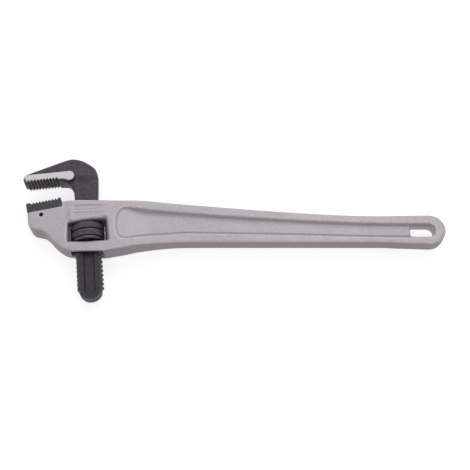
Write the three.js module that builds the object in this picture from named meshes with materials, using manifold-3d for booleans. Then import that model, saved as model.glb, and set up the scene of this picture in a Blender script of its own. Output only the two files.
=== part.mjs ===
// Offset pipe wrench, nominal length 450 mm, lying on its side. Millimetres, +Z up.
//
// The design is drawn about the centre of the adjusting nut: X runs along the handle, Y across it
// and Z through its thickness. The head frame is the same origin turned by HEAD_TURN, so that its
// Y axis is the axis of the jaw's shank and of the nut. At the end the whole group is moved so
// that the origin is the centre of its base.
import * as THREE from "three";
import { mergeVertices } from "three/addons/utils/BufferGeometryUtils.js";
import Module from "manifold-3d";

const wasm = await Module();
wasm.setup();

// ---- Driving dimensions ----
const degrees = Math.PI / 180;
const HEAD_TURN = 6.5 * degrees; // the jaw's shank leans this far from square to the handle
const HEEL_TURN = 12.3 * degrees; // slope of the heel jaw's seat
const FIT = 0.3; // gap between pieces that touch

const HEAD_THICK = 25; // casting at the head
const HANDLE_THICK = 19; // casting at the grip
const WEB_THICK = 8; // floor between the two side recesses
const TAPER_START = 30; // where the thickness starts to fall, along X
const TAPER_END = 95;

const END_RADIUS = 17.2; // round end of the handle
const END_CENTRE = [367.6, 3.8];
const HANG_SLOT = [[347.4, -3.7], [372.6, -3.7], [372.6, 9.3], [347.4, 9.3]];
const BRIDGE_RISE = 0.8; // the pads round the shank stand above the head by this

const NUT_RADIUS = 18;
const NUT_HEIGHT = 19;
const WINDOW_HALF = 19; // half the width of the narrowest part of the nut's window
const WINDOW_MOUTH = [[-22, -9], [23, -13.7], [22.5, 16], [-20, 13.9]]; // the same, at the head's face
const DRUM_PLAY = 0.8; // room round the nut
const CHAMBER_PLAY = 0.8; // room above and below the nut, for the jaw's float

const PITCH = 5.08; // from crest to crest: 5 to the inch
const STARTS = 2; // so a turn of the nut moves the jaw by two pitches
const THREAD_RADIUS = 14.05;
const THREAD_ROOT = 12.25;
const THREAD_STEPS = 28; // facets round the thread
const THREAD_GAP = 0.4; // radial room in the nut

const SHANK_THICK = 12;
const SHANK_BOTTOM = -75;
const SHANK_TIP = 12.4; // radius of the shank's round end
const SHANK_BLANK = 34.4; // the full thread ends here; the nut never comes higher
const THREAD_TOP = 37;
const TROUGH = { radius: 5.6, depth: 1.5, low: -64, high: 30 }; // long recess in each flat of the shank
const JAW_THICK = 23.2; // width of the toothed faces
const BEND_THICK = 17;

const TOOTH_PITCH = 3.42;
const TOOTH_DEPTH = 2.2;
const HOOK_NOTCHES = 10;
const HOOK_FIRST_NOTCH = -60.6;
const TOOTH_LINE = 67; // tips of the hook's teeth, along the nut's axis
const HEEL_NOTCHES = 9;
const HEEL_FIRST_NOTCH = 6.4;

const HEEL_ORIGIN = [-65.35, 21.62]; // outer end of the heel jaw's seat
const HEEL_LENGTH = 37.8;
const HEEL_HEIGHT = 11;
const HEEL_THICK = 25.6;
const TENON_THICK = 9;
const TENON_DEPTH = 8.8;
const PIN_AT = [14.4, -5.1]; // heel jaw's pin, in the heel's own frame
const PIN_RADIUS = 2.1;
const PIN_ROOM = 0.25; // radial room round the pin

const PASSAGE_LEFT = -18; // slot that the shank passes through, across the head frame
const PASSAGE_RIGHT = 15.5;
const CHANNEL_LEFT = -21; // slot beside it that holds the flat spring
const PASSAGE_ROOM = 0.7; // room above and below the shank, and the same for the flat spring

const LEAF_THICK = 0.8;
const LEAF_WIDTH = 9;
const LEAF_NEAR = -THREAD_RADIUS - 0.35 - LEAF_THICK / 2; // its ends, beside the thread
const LEAF_FAR = -19.7; // its middle, beside the nut
const COIL_HEIGHT = 21.5;
const COIL_RADIUS = 2.35; // to the middle of the wire
const WIRE_RADIUS = 0.45;
const COIL_TURNS = 4;
const POCKET_FLOOR = -24;

// ---- Colours ----
const cast = new THREE.MeshStandardMaterial({ color: 0xb0a8ad, roughness: 0.55, metalness: 0.6 });
const black = new THREE.MeshStandardMaterial({ color: 0x3a373c, roughness: 0.5, metalness: 0.5 });
const bright = new THREE.MeshStandardMaterial({ color: 0xc8c4c8, roughness: 0.3, metalness: 1 });

// ---- Solids ----

// A geometry as a solid that can be cut and joined.
function solid(geometry) {
  const bare = geometry.clone();
  bare.deleteAttribute("normal");
  bare.deleteAttribute("uv");
  const merged = mergeVertices(bare, 1e-4);
  return new wasm.Manifold(
    new wasm.Mesh({
      numProp: 3,
      vertProperties: merged.attributes.position.array,
      triVerts: new Uint32Array(merged.index.array),
    }),
  );
}

// A solid as a named mesh.
function piece(name, body, material) {
  const mesh = body.getMesh();
  const geometry = new THREE.BufferGeometry();
  geometry.setAttribute("position", new THREE.BufferAttribute(mesh.vertProperties, 3));
  geometry.setIndex(new THREE.BufferAttribute(mesh.triVerts, 1));
  geometry.computeVertexNormals();
  const made = new THREE.Mesh(geometry, material);
  made.name = name;
  return made;
}

// A flat outline made into a plate from low to high, with rounded rims of the given radius.
function plate(shape, low, high, rim = 0, segments = 3, curveSegments = 4) {
  const geometry = new THREE.ExtrudeGeometry(shape, {
    depth: high - low - 2 * rim,
    bevelEnabled: rim > 0,
    bevelThickness: rim,
    bevelSize: rim,
    bevelOffset: -rim,
    bevelSegments: segments,
    curveSegments,
  });
  return geometry.translate(0, 0, low + rim);
}

function box(x, y, z) {
  const geometry = new THREE.BoxGeometry(x[1] - x[0], y[1] - y[0], z[1] - z[0]);
  return geometry.translate((x[0] + x[1]) / 2, (y[0] + y[1]) / 2, (z[0] + z[1]) / 2);
}

const points = (pairs) => pairs.map(([x, y]) => new THREE.Vector2(x, y));

// A closed outline through the given corners, with round corners of radius r.
function roundedShape(corners, r) {
  const shape = new THREE.Shape();
  const ring = points(corners);
  ring.forEach((corner, i) => {
    const before = ring[(i + ring.length - 1) % ring.length];
    const after = ring[(i + 1) % ring.length];
    const a = corner.clone().add(before.clone().sub(corner).setLength(r));
    const b = corner.clone().add(after.clone().sub(corner).setLength(r));
    if (i === 0) shape.moveTo(a.x, a.y);
    else shape.lineTo(a.x, a.y);
    shape.quadraticCurveTo(corner.x, corner.y, b.x, b.y);
  });
  return shape;
}

// A slot with round ends between two points.
function slotShape(a, b, r) {
  const along = Math.atan2(b[1] - a[1], b[0] - a[0]);
  const shape = new THREE.Shape();
  shape.absarc(b[0], b[1], r, along - Math.PI / 2, along + Math.PI / 2);
  shape.absarc(a[0], a[1], r, along + Math.PI / 2, along + (3 * Math.PI) / 2);
  return shape;
}

// A closed skin between two outlines with the same number of points, at two heights.
function loft(inner, innerZ, outer, outerZ) {
  const count = inner.length;
  const vertices = [
    ...inner.flatMap((p) => [p.x, p.y, innerZ]),
    ...outer.flatMap((p) => [p.x, p.y, outerZ]),
  ];
  const faces = THREE.ShapeUtils.triangulateShape(inner, []);
  const index = faces.flatMap(([a, b, c]) => [a, c, b]);
  index.push(...faces.flatMap(([a, b, c]) => [a + count, b + count, c + count]));
  for (let i = 0; i < count; i++) {
    const next = (i + 1) % count;
    index.push(i, next, next + count, i, next + count, i + count);
  }
  const geometry = new THREE.BufferGeometry();
  geometry.setAttribute("position", new THREE.Float32BufferAttribute(vertices, 3));
  geometry.setIndex(index);
  return geometry;
}

// Turned about the head frame's Y axis: a profile of [radius, height] pairs.
const turned = (profile, sides) => new THREE.LatheGeometry(points(profile), sides);

// A cylinder about the head frame's Y axis.
function cylinderAlong(radius, low, high) {
  return turned([[0, low], [radius, low], [radius, high], [0, high]], 40);
}

// Both a shape above the middle plane and its mirror image below it.
function bothSides(geometry) {
  const upper = solid(geometry);
  return upper.add(upper.mirror([0, 0, 1]));
}

const intoHead = (body) => body.rotate([0, 0, HEAD_TURN / degrees]);

function intoHeel(body) {
  return body.rotate([0, 0, HEEL_TURN / degrees]).translate([...HEEL_ORIGIN, 0]);
}

// ---- Thread ----

// A screw about the Y axis from low to high. Rows follow the helix, so its crests stay sharp.
function screw(rootRadius, crestRadius, low, high) {
  const profile = [
    [-0.13, rootRadius],
    [0.17, crestRadius],
    [0.37, crestRadius],
    [0.67, rootRadius],
  ];
  const rows = profile.length;
  const ridges = Math.ceil((high - low) / PITCH) + 2 * STARTS;
  const start = PITCH * (Math.floor(low / PITCH) - STARTS);
  const at = (column, row) => {
    const [share, radius] = profile[row % rows];
    const turn = column / THREAD_STEPS;
    const angle = turn * 2 * Math.PI;
    const height = start + PITCH * (Math.floor(row / rows) + share + STARTS * turn);
    return [radius * Math.sin(angle), height, radius * Math.cos(angle)];
  };
  const lastRow = ridges * rows;
  const climb = STARTS * rows; // going once round, a row meets the row this much higher
  const perColumn = lastRow + climb + 1;
  const vertices = [];
  for (let column = 0; column < THREAD_STEPS; column++)
    for (let row = 0; row < perColumn; row++) vertices.push(...at(column, row));
  const id = (column, row) =>
    column < THREAD_STEPS ? column * perColumn + row : row + climb;
  const index = [];
  for (let column = 0; column < THREAD_STEPS; column++)
    for (let row = 0; row < lastRow; row++) {
      const [a, b] = [id(column, row), id(column + 1, row)];
      const [c, d] = [id(column + 1, row + 1), id(column, row + 1)];
      index.push(a, b, c, a, c, d);
    }
  const ringAt = (row) => {
    const ring = Array.from({ length: THREAD_STEPS + 1 }, (_, column) => id(column, row));
    for (let step = climb - 1; step > 0; step--) ring.push(id(0, row + step));
    return ring;
  };
  const bottom = vertices.length / 3;
  vertices.push(0, start - PITCH, 0, 0, start + PITCH * (ridges + STARTS + 1), 0);
  const cap = (ring, centre, outward) =>
    ring.forEach((a, i) => {
      const b = ring[(i + 1) % ring.length];
      if (outward) index.push(a, b, centre);
      else index.push(b, a, centre);
    });
  cap(ringAt(0), bottom, false);
  cap(ringAt(lastRow), bottom + 1, true);
  const geometry = new THREE.BufferGeometry();
  geometry.setAttribute("position", new THREE.Float32BufferAttribute(vertices, 3));
  geometry.setIndex(index);
  const wide = 2 * crestRadius;
  return solid(geometry).intersect(solid(box([-wide, wide], [low, high], [-wide, wide])));
}

// ---- Casting: head and handle in one ----

function castingShape() {
  const shape = new THREE.Shape();
  const heel = (u, v) => [
    HEEL_ORIGIN[0] + u * Math.cos(HEEL_TURN) - v * Math.sin(HEEL_TURN),
    HEEL_ORIGIN[1] + u * Math.sin(HEEL_TURN) + v * Math.cos(HEEL_TURN),
  ];
  shape.moveTo(...heel(0, 0));
  shape.lineTo(-63.8, 11);
  shape.quadraticCurveTo(-62.4, 3.1, -54, 1.8);
  shape.bezierCurveTo(-47.5, 0.6, -45, -0.4, -41, -4.7);
  shape.splineThru(points([[-33.3, -12.8], [-24.4, -19.4], [-13.9, -22.6]]));
  shape.lineTo(18.4, -22.4);
  shape.splineThru(points([[38, -18.8], [57, -15.2], [90, -12.1], [122, -11.3]]));
  shape.splineThru(points([[300, -11.4], [336, -12.3], [END_CENTRE[0], END_CENTRE[1] - END_RADIUS]]));
  shape.absarc(...END_CENTRE, END_RADIUS, -Math.PI / 2, Math.PI / 2);
  shape.splineThru(
    points([[306, 20.1], [252, 22.2], [187, 26.8], [122, 32.5], [45, 39.1], [16, 40.3], [-10, 39.2]]),
  );
  shape.lineTo(...heel(HEEL_LENGTH + FIT, 6.3));
  shape.lineTo(...heel(HEEL_LENGTH + FIT, 0));
  return shape;
}

// Thins the handle: Z shrinks smoothly from the head's thickness to the grip's.
function taper(geometry) {
  const position = geometry.attributes.position;
  for (let i = 0; i < position.count; i++) {
    const share = THREE.MathUtils.smoothstep(position.getX(i), TAPER_START, TAPER_END);
    const thickness = THREE.MathUtils.lerp(HEAD_THICK, HANDLE_THICK, share);
    position.setZ(i, (position.getZ(i) * thickness) / HEAD_THICK);
  }
  return geometry;
}

function recessShape() {
  const shape = new THREE.Shape();
  shape.moveTo(40, -8);
  shape.splineThru(points([[67.5, -4.6], [100, -1.6], [122, -1.3], [228, -3.2], [303, -5.2], [365, -5.6]]));
  shape.absarc(365.5, 3.2, 8.8, -Math.PI / 2, Math.PI / 2);
  shape.splineThru(points([[303, 12.4], [228, 15.8], [153, 20.6], [99, 25], [55, 28.8], [42, 29.8]]));
  shape.quadraticCurveTo(29.6, 29.4, 29.6, 11.4);
  shape.quadraticCurveTo(30.4, -8, 40, -8);
  return shape;
}

function casting() {
  const half = HEAD_THICK / 2;
  let body = solid(taper(plate(castingShape(), -half, half, 3.2)));

  const recess = plate(recessShape(), WEB_THICK / 2, half + 6, 1.5, 2);
  body = body.subtract(bothSides(recess));
  body = body.subtract(solid(plate(roundedShape(HANG_SLOT, 4.5), -half, half)));

  // Raised bridges round the shank, with a shallow groove across the upper one.
  const bridge = roundedShape([[-20.5, -21.2], [22, -21.2], [24, 15], [22, 37.6], [-19, 36], [-20.5, 12]], 3);
  body = body.add(bothSides(plate(bridge, 2, half + BRIDGE_RISE, BRIDGE_RISE, 1)));
  const groove = slotShape([-13, 27.3], [17, 28.6], 3.4);
  body = body.subtract(bothSides(plate(groove, half - 0.2, half + 2)));

  // Chamber for the nut, its flared windows, and the passages for the shank and the spring.
  const chamber = NUT_HEIGHT / 2 + CHAMBER_PLAY;
  const wide = WINDOW_HALF;
  const inner = roundedShape([[-wide, -chamber], [wide, -chamber], [wide, chamber], [-wide, chamber]], 1.5);
  const outer = roundedShape(WINDOW_MOUTH, 1.5);
  const flare = loft(inner.getPoints(3), 3, outer.getPoints(3), half + 1.6);
  const drum = cylinderAlong(NUT_RADIUS + DRUM_PLAY, -chamber, chamber);
  const wall = SHANK_THICK / 2 + PASSAGE_ROOM;
  const springWall = LEAF_WIDTH / 2 + PASSAGE_ROOM;
  const passages = solid(plate(inner, -4, 4))
    .add(bothSides(flare))
    .add(solid(drum))
    .add(solid(box([PASSAGE_LEFT, PASSAGE_RIGHT], [-40, 50], [-wall, wall])))
    .add(solid(box([CHANNEL_LEFT, PASSAGE_LEFT + 1], [-16.5, 16.5], [-springWall, springWall])));
  body = body.subtract(intoHead(passages));
  const pocket = new THREE.CylinderGeometry(3.3, 3.3, 8, 16);
  pocket.rotateZ(Math.PI / 2).translate(POCKET_FLOOR + 4, COIL_HEIGHT, 0);
  body = body.subtract(intoHead(solid(pocket)));

  // Slot for the heel jaw's tenon, and the hole for its pin.
  const slotWall = TENON_THICK / 2 + FIT;
  const slot = box([-2, HEEL_LENGTH - 3.7], [-TENON_DEPTH - FIT, 1], [-slotWall, slotWall]);
  return body.subtract(intoHeel(solid(slot).add(pinHole())));
}

function pinHole() {
  const radius = PIN_RADIUS + PIN_ROOM;
  const hole = new THREE.CylinderGeometry(radius, radius, HEAD_THICK + 2, 16);
  return solid(hole.rotateX(Math.PI / 2).translate(...PIN_AT, 0));
}

// ---- Hook jaw: hook and threaded shank in one ----

function hookShape() {
  const shape = new THREE.Shape();
  shape.moveTo(12, SHANK_BLANK);
  shape.lineTo(13, 38);
  shape.splineThru(
    points([[13.5, 46], [14.5, 64], [13.4, 75.4], [7.7, 82.8], [-1.4, 89.1], [-12.4, 91.9], [-24, 89.7]]),
  );
  shape.absarc(-59.9, 71.5, 7.2, 1.864, 2.95);
  shape.lineTo(-65.6, TOOTH_LINE);
  shape.lineTo(-28, TOOTH_LINE);
  shape.bezierCurveTo(-21.5, TOOTH_LINE, -12.8, 60.5, -12.2, 50);
  shape.lineTo(-11.7, 38);
  shape.lineTo(-11.5, SHANK_BLANK);
  return shape;
}

// The machined flat beside the teeth.
function flankShape() {
  const shape = new THREE.Shape();
  shape.moveTo(-62.5, TOOTH_LINE);
  shape.lineTo(-28, TOOTH_LINE);
  shape.quadraticCurveTo(-23, TOOTH_LINE, -20.2, 65.9);
  shape.absarc(-15.8, 70, 5.6, -2.3, Math.PI / 2);
  shape.lineTo(-59.5, 75.6);
  shape.quadraticCurveTo(-65.6, 75, -65.2, 72);
  return shape;
}

function toothNotches(first, count, tipLine, direction) {
  const root = tipLine - direction * TOOTH_DEPTH;
  const over = tipLine + direction * 2;
  const notches = Array.from({ length: count }, (_, i) => {
    const x = first + i * TOOTH_PITCH;
    const wide = TOOTH_PITCH * (1 + 2 / TOOTH_DEPTH);
    const shape = new THREE.Shape(points([[x, root], [x + wide * 0.5, over], [x - wide * 0.5, over]]));
    return solid(plate(shape, -20, 20));
  });
  return notches.reduce((all, notch) => all.add(notch));
}

function hookJaw() {
  const half = SHANK_THICK / 2;
  let body = solid(plate(hookShape(), -half, half, 1.2, 2));
  const bend = solid(plate(hookShape(), -BEND_THICK / 2, BEND_THICK / 2, 3, 3));
  const above = box([-90, 40], [65, 110], [-20, 20]);
  body = body.add(bend.intersect(solid(above)));
  body = body.add(solid(plate(flankShape(), -JAW_THICK / 2, JAW_THICK / 2, 0.4, 1, 8)));
  body = body.subtract(toothNotches(HOOK_FIRST_NOTCH, HOOK_NOTCHES, TOOTH_LINE, -1));

  // Threaded bar with flat faces and a round end, with a long recess in each face.
  const tip = SHANK_BOTTOM + SHANK_TIP;
  const bar = new THREE.Shape();
  bar.absarc(0, tip, SHANK_TIP, Math.PI, 2 * Math.PI);
  bar.lineTo(20, tip);
  bar.lineTo(20, THREAD_TOP + 5);
  bar.lineTo(-20, THREAD_TOP + 5);
  bar.lineTo(-20, tip);
  const flats = solid(plate(bar, -half, half, 1, 1, 8));
  const threaded = screw(THREAD_ROOT, THREAD_RADIUS, SHANK_BOTTOM + 11, THREAD_TOP);
  const core = cylinderAlong(THREAD_ROOT, SHANK_BOTTOM, THREAD_TOP);
  body = body.add(threaded.add(solid(core)).intersect(flats));
  const trough = slotShape([0, TROUGH.low], [0, TROUGH.high], TROUGH.radius);
  return intoHead(body.subtract(bothSides(plate(trough, half - TROUGH.depth, half + 2))));
}

// ---- Heel jaw and its pin ----

function heelJaw() {
  const half = HEEL_THICK / 2;
  const block = new THREE.Shape(
    points([[0, FIT], [HEEL_LENGTH, FIT], [HEEL_LENGTH, HEEL_HEIGHT], [0, HEEL_HEIGHT]]),
  );
  let body = solid(plate(block, -half, half, 0.5, 1));
  body = body.subtract(toothNotches(HEEL_FIRST_NOTCH, HEEL_NOTCHES, HEEL_HEIGHT, 1));
  const tenon = box([0.4, HEEL_LENGTH - 4], [-TENON_DEPTH, 1], [-TENON_THICK / 2, TENON_THICK / 2]);
  return intoHeel(body.add(solid(tenon)).subtract(pinHole()));
}

// Rolled from sheet, so it is a tube with a slit.
function heelPin() {
  const length = HEAD_THICK - 3;
  const tube = new THREE.Shape();
  const slit = 0.25;
  tube.absarc(0, 0, PIN_RADIUS, slit, 2 * Math.PI - slit);
  tube.absarc(0, 0, PIN_RADIUS - 0.7, 2 * Math.PI - slit, slit, true);
  const geometry = plate(tube, -length / 2, length / 2, 0, 1, 10).translate(...PIN_AT, 0);
  return intoHeel(solid(geometry));
}

// ---- Adjusting nut ----

function adjustingNut() {
  const top = NUT_HEIGHT / 2;
  const profile = [
    [0, -top], [NUT_RADIUS - 1.2, -top], [NUT_RADIUS - 0.4, -top + 0.8], [NUT_RADIUS - 0.4, -top + 2.2],
    [NUT_RADIUS - 1.6, -top + 2.8], [NUT_RADIUS - 1.6, -top + 3.6], [NUT_RADIUS, -top + 4.2],
    [NUT_RADIUS, 0.6], [NUT_RADIUS - 1.8, 1.4], [NUT_RADIUS - 1.8, 2.4], [NUT_RADIUS, 3.2],
    [NUT_RADIUS, top - 1], [NUT_RADIUS - 1.2, top], [0, top],
  ];
  let body = solid(turned(profile, 48));
  const flutes = 36;
  for (let i = 0; i < flutes; i++) {
    const flute = new THREE.CylinderGeometry(0.6, 0.6, NUT_HEIGHT - 6.6, 4);
    flute.translate(0, 3.3, NUT_RADIUS + 0.15).rotateY((i * 2 * Math.PI) / flutes);
    body = body.subtract(solid(flute));
  }
  const thread = screw(THREAD_ROOT + THREAD_GAP, THREAD_RADIUS + THREAD_GAP, -top - 1, top + 1);
  return intoHead(body.subtract(thread));
}

// ---- Spring set: a flat spring riveted to a coil spring ----

function flatSpring() {
  const path = points([
    [LEAF_NEAR, -22.4], [LEAF_NEAR, -16.6], [LEAF_FAR, -11],
    [LEAF_FAR, 11], [LEAF_NEAR, 17.6], [LEAF_NEAR, 27],
  ]);
  const left = path.map((p) => p.clone().setX(p.x - LEAF_THICK / 2));
  const right = path.map((p) => p.clone().setX(p.x + LEAF_THICK / 2));
  const strip = new THREE.Shape([...right, ...left.reverse()]);
  const body = solid(plate(strip, -LEAF_WIDTH / 2, LEAF_WIDTH / 2));
  const hole = new THREE.CylinderGeometry(1.5, 1.5, 4, 16);
  hole.rotateZ(Math.PI / 2).translate(LEAF_NEAR, COIL_HEIGHT, 0);
  return intoHead(body.subtract(solid(hole)));
}

class Helix extends THREE.Curve {
  constructor(from, to) {
    super();
    Object.assign(this, { from, to });
  }
  getPoint(t) {
    const angle = t * COIL_TURNS * 2 * Math.PI;
    return new THREE.Vector3(
      THREE.MathUtils.lerp(this.from, this.to, t),
      COIL_HEIGHT + COIL_RADIUS * Math.sin(angle),
      COIL_RADIUS * Math.cos(angle),
    );
  }
}

function coilSpring() {
  const wire = new THREE.Shape();
  wire.absarc(0, 0, WIRE_RADIUS, 0, 2 * Math.PI);
  const geometry = new THREE.ExtrudeGeometry(wire, {
    steps: COIL_TURNS * 12,
    curveSegments: 3,
    extrudePath: new Helix(
      POCKET_FLOOR + FIT + WIRE_RADIUS,
      LEAF_NEAR - LEAF_THICK / 2 - FIT - WIRE_RADIUS,
    ),
  });
  return intoHead(solid(geometry));
}

// Flush with the flat spring's face, with a head inside the coil.
function springRivet() {
  const face = LEAF_NEAR + LEAF_THICK / 2;
  const profile = [[0, 0], [1.2, 0], [1.2, 2.4], [1.6, 2.4], [1.6, 3.1], [0, 3.1]];
  const geometry = turned(profile, 16).rotateZ(Math.PI / 2).translate(face, COIL_HEIGHT, 0);
  return intoHead(solid(geometry));
}

// ---- Assembly ----

const wrench = new THREE.Group();
wrench.add(
  piece("cast_handle", casting(), cast),
  piece("hook_jaw", hookJaw(), black),
  piece("heel_jaw", heelJaw(), black),
  piece("heel_jaw_pin", heelPin(), bright),
  piece("adjusting_nut", adjustingNut(), black),
  piece("flat_spring", flatSpring(), bright),
  piece("coil_spring", coilSpring(), bright),
  piece("spring_rivet", springRivet(), bright),
);

const bounds = new THREE.Box3().setFromObject(wrench);
const middle = bounds.getCenter(new THREE.Vector3());
wrench.position.set(-middle.x, -middle.y, -bounds.min.z);

export default wrench;
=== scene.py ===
"""The looks of an offset pipe wrench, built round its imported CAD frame.

Shapes are worked out in millimetres, in three local frames: the design frame has its origin in
the middle of the adjusting nut and X along the handle, the head frame is the same turned so that
Y is the nut's axis, and the heel frame sits on the heel jaw's seat. Each cast, forged or cut
piece is a distance field: a function that is negative inside the metal. Its surface is meshed
and placed in metres in the frame of the CAD model.
"""

import math

import bmesh
import bpy
import numpy as np
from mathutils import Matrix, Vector


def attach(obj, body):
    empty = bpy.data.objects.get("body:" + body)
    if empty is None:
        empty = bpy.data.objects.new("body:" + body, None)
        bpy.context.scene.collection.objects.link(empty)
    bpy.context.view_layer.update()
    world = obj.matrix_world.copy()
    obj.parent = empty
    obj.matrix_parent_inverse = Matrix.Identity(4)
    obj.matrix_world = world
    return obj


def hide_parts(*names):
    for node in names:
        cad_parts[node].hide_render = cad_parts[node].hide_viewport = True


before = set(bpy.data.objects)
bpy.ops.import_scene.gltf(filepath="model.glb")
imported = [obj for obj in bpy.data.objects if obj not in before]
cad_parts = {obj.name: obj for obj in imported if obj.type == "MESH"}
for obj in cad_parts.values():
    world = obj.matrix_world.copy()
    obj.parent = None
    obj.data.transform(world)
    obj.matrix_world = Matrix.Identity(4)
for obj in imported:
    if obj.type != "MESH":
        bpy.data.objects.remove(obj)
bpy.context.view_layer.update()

MM = 0.001
NUT_CENTRE = np.array([-155.0065, -7.7078, 18.0])  # the design frame's origin, in the CAD frame

# ---- Driving dimensions, as in the CAD model ----
HEAD_TURN = math.radians(6.5)
HEEL_TURN = math.radians(12.3)
HEEL_ORIGIN = (-65.35, 21.62)
FIT = 0.3

HEAD_THICK = 25.0
HANDLE_THICK = 19.0
WEB_THICK = 8.0
TAPER_START, TAPER_END = 30.0, 95.0
END_CENTRE, END_RADIUS = (367.6, 3.8), 17.2
HANG_SLOT = [(347.4, -3.7), (372.6, -3.7), (372.6, 9.3), (347.4, 9.3)]
BRIDGE_RISE = 0.8

NUT_RADIUS = 18.0
NUT_HEIGHT = 19.0
CHAMBER = NUT_HEIGHT / 2 + 0.8  # half the height of the nut's chamber
PITCH, STARTS = 5.08, 2
THREAD_CREST, THREAD_ROOT, THREAD_GAP = 14.05, 12.25, 0.4
RIDGE_START, CREST_START, CREST_END, RIDGE_END = -0.13, 0.17, 0.37, 0.67  # shares of the pitch
FLANK_SCALE = 0.62  # from a radial distance to the distance from the thread's leaning flank

SHANK_THICK = 12.0
SHANK_BOTTOM = -75.0
SHANK_TIP = 12.4  # radius of its round end
THREAD_TOP = 37.0
TROUGH_RADIUS, TROUGH_LOW, TROUGH_HIGH = 5.6, -64.0, 30.0
JAW_THICK = 23.2
BEND_THICK = 17.0

TOOTH_PITCH, TOOTH_DEPTH = 3.42, 2.2
TOOTH_LINE = 67.0  # tips of the hook's teeth, in the head frame
HOOK_FIRST_NOTCH, HOOK_NOTCHES = -60.6, 10
HEEL_FIRST_NOTCH, HEEL_NOTCHES = 6.4, 9
HEEL_LENGTH, HEEL_HEIGHT, HEEL_THICK = 37.8, 11.0, 25.6
TENON_THICK, TENON_DEPTH = 9.0, 8.8
PIN_AT, PIN_RADIUS, PIN_ROOM = (14.4, -5.1), 2.1, 0.25

PASSAGE_LEFT, PASSAGE_RIGHT, PASSAGE_ROOM = -18.0, 15.5, 0.7
CHANNEL_LEFT, CHANNEL_HALF = -21.0, 16.5
LEAF_THICK, LEAF_WIDTH = 0.8, 9.0
LEAF_NEAR = -THREAD_CREST - 0.35 - LEAF_THICK / 2
LEAF_FAR = -19.7
COIL_HEIGHT, COIL_RADIUS, WIRE_RADIUS, COIL_TURNS = 21.5, 2.35, 0.45, 4
POCKET_FLOOR, POCKET_DEPTH, POCKET_RADIUS = -24.0, 8.0, 3.3

# ---- Where the looks differ a little from the CAD model ----
WINDOW_LEFT, WINDOW_RIGHT = -18.1, 18.6
WINDOW_OUTER = [(-22.0, -9.2), (24.2, -13.4), (23.6, 17.0), (-20.4, 15.1)]
DRUM_PLAY = 0.5  # room round the nut
TROUGH_DEPTH = 1.7
ROCK_ROOM = 0.85  # the coil doesn't shorten when the jaw rocks, so it stands this far off


# ---- Places: from a local frame to the CAD frame ----
class Place:
    """A local frame: turned about Z, then shifted, in the design frame."""

    def __init__(self, turn=0.0, shift=(0.0, 0.0)):
        self.cos, self.sin, self.shift = math.cos(turn), math.sin(turn), shift

    def local(self, x, y):
        """Design coordinates as coordinates in this frame."""
        x, y = x - self.shift[0], y - self.shift[1]
        return x * self.cos + y * self.sin, y * self.cos - x * self.sin

    def design(self, x, y):
        """Coordinates in this frame as design coordinates."""
        return (
            x * self.cos - y * self.sin + self.shift[0],
            x * self.sin + y * self.cos + self.shift[1],
        )

    def metres(self, points):
        """Points in this frame as points in the CAD frame, in metres."""
        x, y = self.design(points[:, 0], points[:, 1])
        return (np.stack([x, y, points[:, 2]], 1) + NUT_CENTRE) * MM


DESIGN = Place()
HEAD = Place(HEAD_TURN)
HEEL = Place(HEEL_TURN, HEEL_ORIGIN)


# ---- Outlines ----
class Outline:
    """A closed outline drawn by lines and curves, as a list of points."""

    def __init__(self, *start):
        self.points = [start]

    def line(self, *corners):
        self.points += corners
        return self

    def quad(self, control, end, steps=8):
        start = self.points[-1]
        for i in range(1, steps + 1):
            t = i / steps
            self.points.append(
                tuple(
                    (1 - t) ** 2 * a + 2 * t * (1 - t) * b + t * t * c
                    for a, b, c in zip(start, control, end)
                )
            )
        return self

    def cubic(self, first, second, end, steps=14):
        start = self.points[-1]
        for i in range(1, steps + 1):
            t = i / steps
            shares = ((1 - t) ** 3, 3 * t * (1 - t) ** 2, 3 * t * t * (1 - t), t**3)
            corners = (start, first, second, end)
            point = (sum(s * c[k] for s, c in zip(shares, corners)) for k in (0, 1))
            self.points.append(tuple(point))
        return self

    def spline(self, *knots, steps=10):
        """Through all the knots, with the tangents of a Catmull-Rom curve."""
        knots = [self.points[-1], *knots]
        for i in range(len(knots) - 1):
            before, a = knots[max(i - 1, 0)], knots[i]
            b, after = knots[i + 1], knots[min(i + 2, len(knots) - 1)]
            for step in range(1, steps + 1):
                t = step / steps
                point = (catmull(before[k], a[k], b[k], after[k], t) for k in (0, 1))
                self.points.append(tuple(point))
        return self

    def arc(self, centre, radius, start, end, steps=24):
        for i in range(steps + 1):
            angle = start + (end - start) * i / steps
            x, y = centre[0] + radius * math.cos(angle), centre[1] + radius * math.sin(angle)
            self.points.append((x, y))
        return self


def catmull(before, a, b, after, t):
    """A Catmull-Rom curve from a to b, between its neighbours."""
    from_a, to_b = (b - before) / 2, (after - a) / 2
    return (
        (2 * a - 2 * b + from_a + to_b) * t**3
        + (3 * b - 3 * a - 2 * from_a - to_b) * t**2
        + from_a * t
        + a
    )


def rounded(corners, radius):
    """An outline through the corners, each cut by a curve that starts at the radius from it."""
    ring = [np.array(c, float) for c in corners]
    outline = None
    for i, corner in enumerate(ring):
        before, after = ring[i - 1], ring[(i + 1) % len(ring)]
        start = corner + (before - corner) / np.linalg.norm(before - corner) * radius
        end = corner + (after - corner) / np.linalg.norm(after - corner) * radius
        outline = outline.line(tuple(start)) if outline else Outline(*start)
        outline.quad(tuple(corner), tuple(end))
    return outline


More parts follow.
